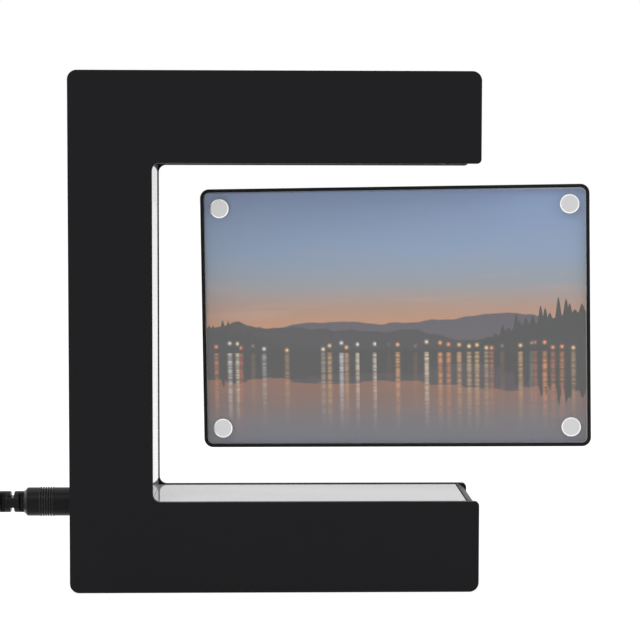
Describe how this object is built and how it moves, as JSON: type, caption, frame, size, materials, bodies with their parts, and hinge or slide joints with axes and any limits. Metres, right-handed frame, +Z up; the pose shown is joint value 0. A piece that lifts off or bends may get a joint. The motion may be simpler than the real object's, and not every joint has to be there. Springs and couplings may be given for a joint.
{
  "type": "levitating photo frame",
  "caption": "C-shaped black stand with opal light panels that floats a flat photo panel in its mouth by an electromagnet, with a DC lead and plug-top adaptor.",
  "frame": {"origin": "centre of the stand's footprint, on the table under the anti-slip pad", "axes": "+X to the open side of the C, +Y to the back, +Z up"},
  "size_m": [0.3973, 0.0642, 0.2035],
  "materials": {
    "casing_black": "satin",
    "pad_rubber": "matte",
    "opal_acrylic": "gloss",
    "smoked_acrylic": "satin",
    "tray_white": "matte",
    "strip_white": "satin",
    "light_chip": "gloss",
    "steel": "brushed",
    "screw_black": "satin",
    "copper": "enamelled",
    "bobbin_grey": "satin",
    "board_green": "satin",
    "chip_black": "matte",
    "capacitor": "satin",
    "connector": "satin",
    "jack_black": "satin",
    "contact": "polished",
    "wire_red": "satin",
    "wire_amber": "satin",
    "wire_white": "satin",
    "magnet": "nickel",
    "panel_black": "satin",
    "print_paper": "gloss",
    "clear_acrylic": "clear",
    "disc_satin": "satin",
    "plug_nickel": "polished",
    "plug_black": "satin",
    "cord_black": "satin",
    "tie_black": "matte",
    "adaptor_black": "satin"
  },
  "bodies": {
    "stand": {"front_shell": "casing_black", "rear_cover": "casing_black", "rear_screws": "screw_black", "base_pad": "pad_rubber", "top_smoked": "smoked_acrylic", "side_opal": "opal_acrylic", "base_opal": "opal_acrylic", "top_light_tray": "tray_white", "side_light_tray": "tray_white", "base_light_tray": "tray_white", "top_light_strip": "strip_white", "side_light_strip": "strip_white", "base_light_strip": "strip_white", "light_chips": "light_chip", "yoke_plate": "steel", "yoke_screws": "steel", "magnet_core": "steel", "core_screw": "steel", "coil_bobbin": "bobbin_grey", "coil_winding": "copper", "sensor_board": "board_green", "hall_sensor": "chip_black", "control_board": "board_green", "board_chips": "chip_black", "board_capacitors": "capacitor", "board_connectors": "connector", "board_screws": "steel", "dc_jack": "jack_black", "jack_pin": "contact", "supply_wire": "wire_red", "coil_wire": "wire_amber", "light_wires": "wire_white", "ballast_plate": "steel"},
    "lift_magnet": {"lift_magnet": "magnet"},
    "panel": {"panel_tray": "panel_black", "panel_back": "panel_black", "tray_magnets": "magnet"},
    "print": {"photo_print": "print_paper"},
    "cover": {"clear_cover": "clear_acrylic", "cover_magnets": "disc_satin"},
    "power_lead": {"plug_barrel": "plug_nickel", "plug_body": "plug_black", "strain_relief": "plug_black", "cord_run": "cord_black", "cord_coil": "cord_black", "cord_tie": "tie_black", "cord_tail": "cord_black", "adaptor_bush": "plug_black", "adaptor_back": "adaptor_black", "adaptor_face": "adaptor_black", "adaptor_pins": "plug_nickel"}
  },
  "joints": [
    {"name": "float_height", "type": "slide", "parent": "stand", "child": "lift_magnet", "axis": [0, 0, 1], "range_m": [-0.017, 0.006], "stiffness_N_per_m": 150, "springref_m": 0.00765},
    {"name": "panel_spin", "type": "hinge", "parent": "lift_magnet", "child": "panel", "pos_m": [0.0485, 0, 0.107], "axis": [0, 0, 1], "continuous": true},
    {"name": "cover_pull", "type": "slide", "parent": "panel", "child": "cover", "axis": [-0.1219, -0.9925, 0], "range_m": [0, 0.04]},
    {"name": "print_pull", "type": "slide", "parent": "panel", "child": "print", "axis": [-0.1219, -0.9925, 0], "range_m": [0, 0.02]},
    {"name": "plug_pull", "type": "slide", "parent": "stand", "child": "power_lead", "axis": [-1, 0, 0], "range_m": [0, 0.012]}
  ],
  "couplings": [
    {"joint": "print_pull", "follows": "cover_pull", "ratio": 0.5}
  ]
}
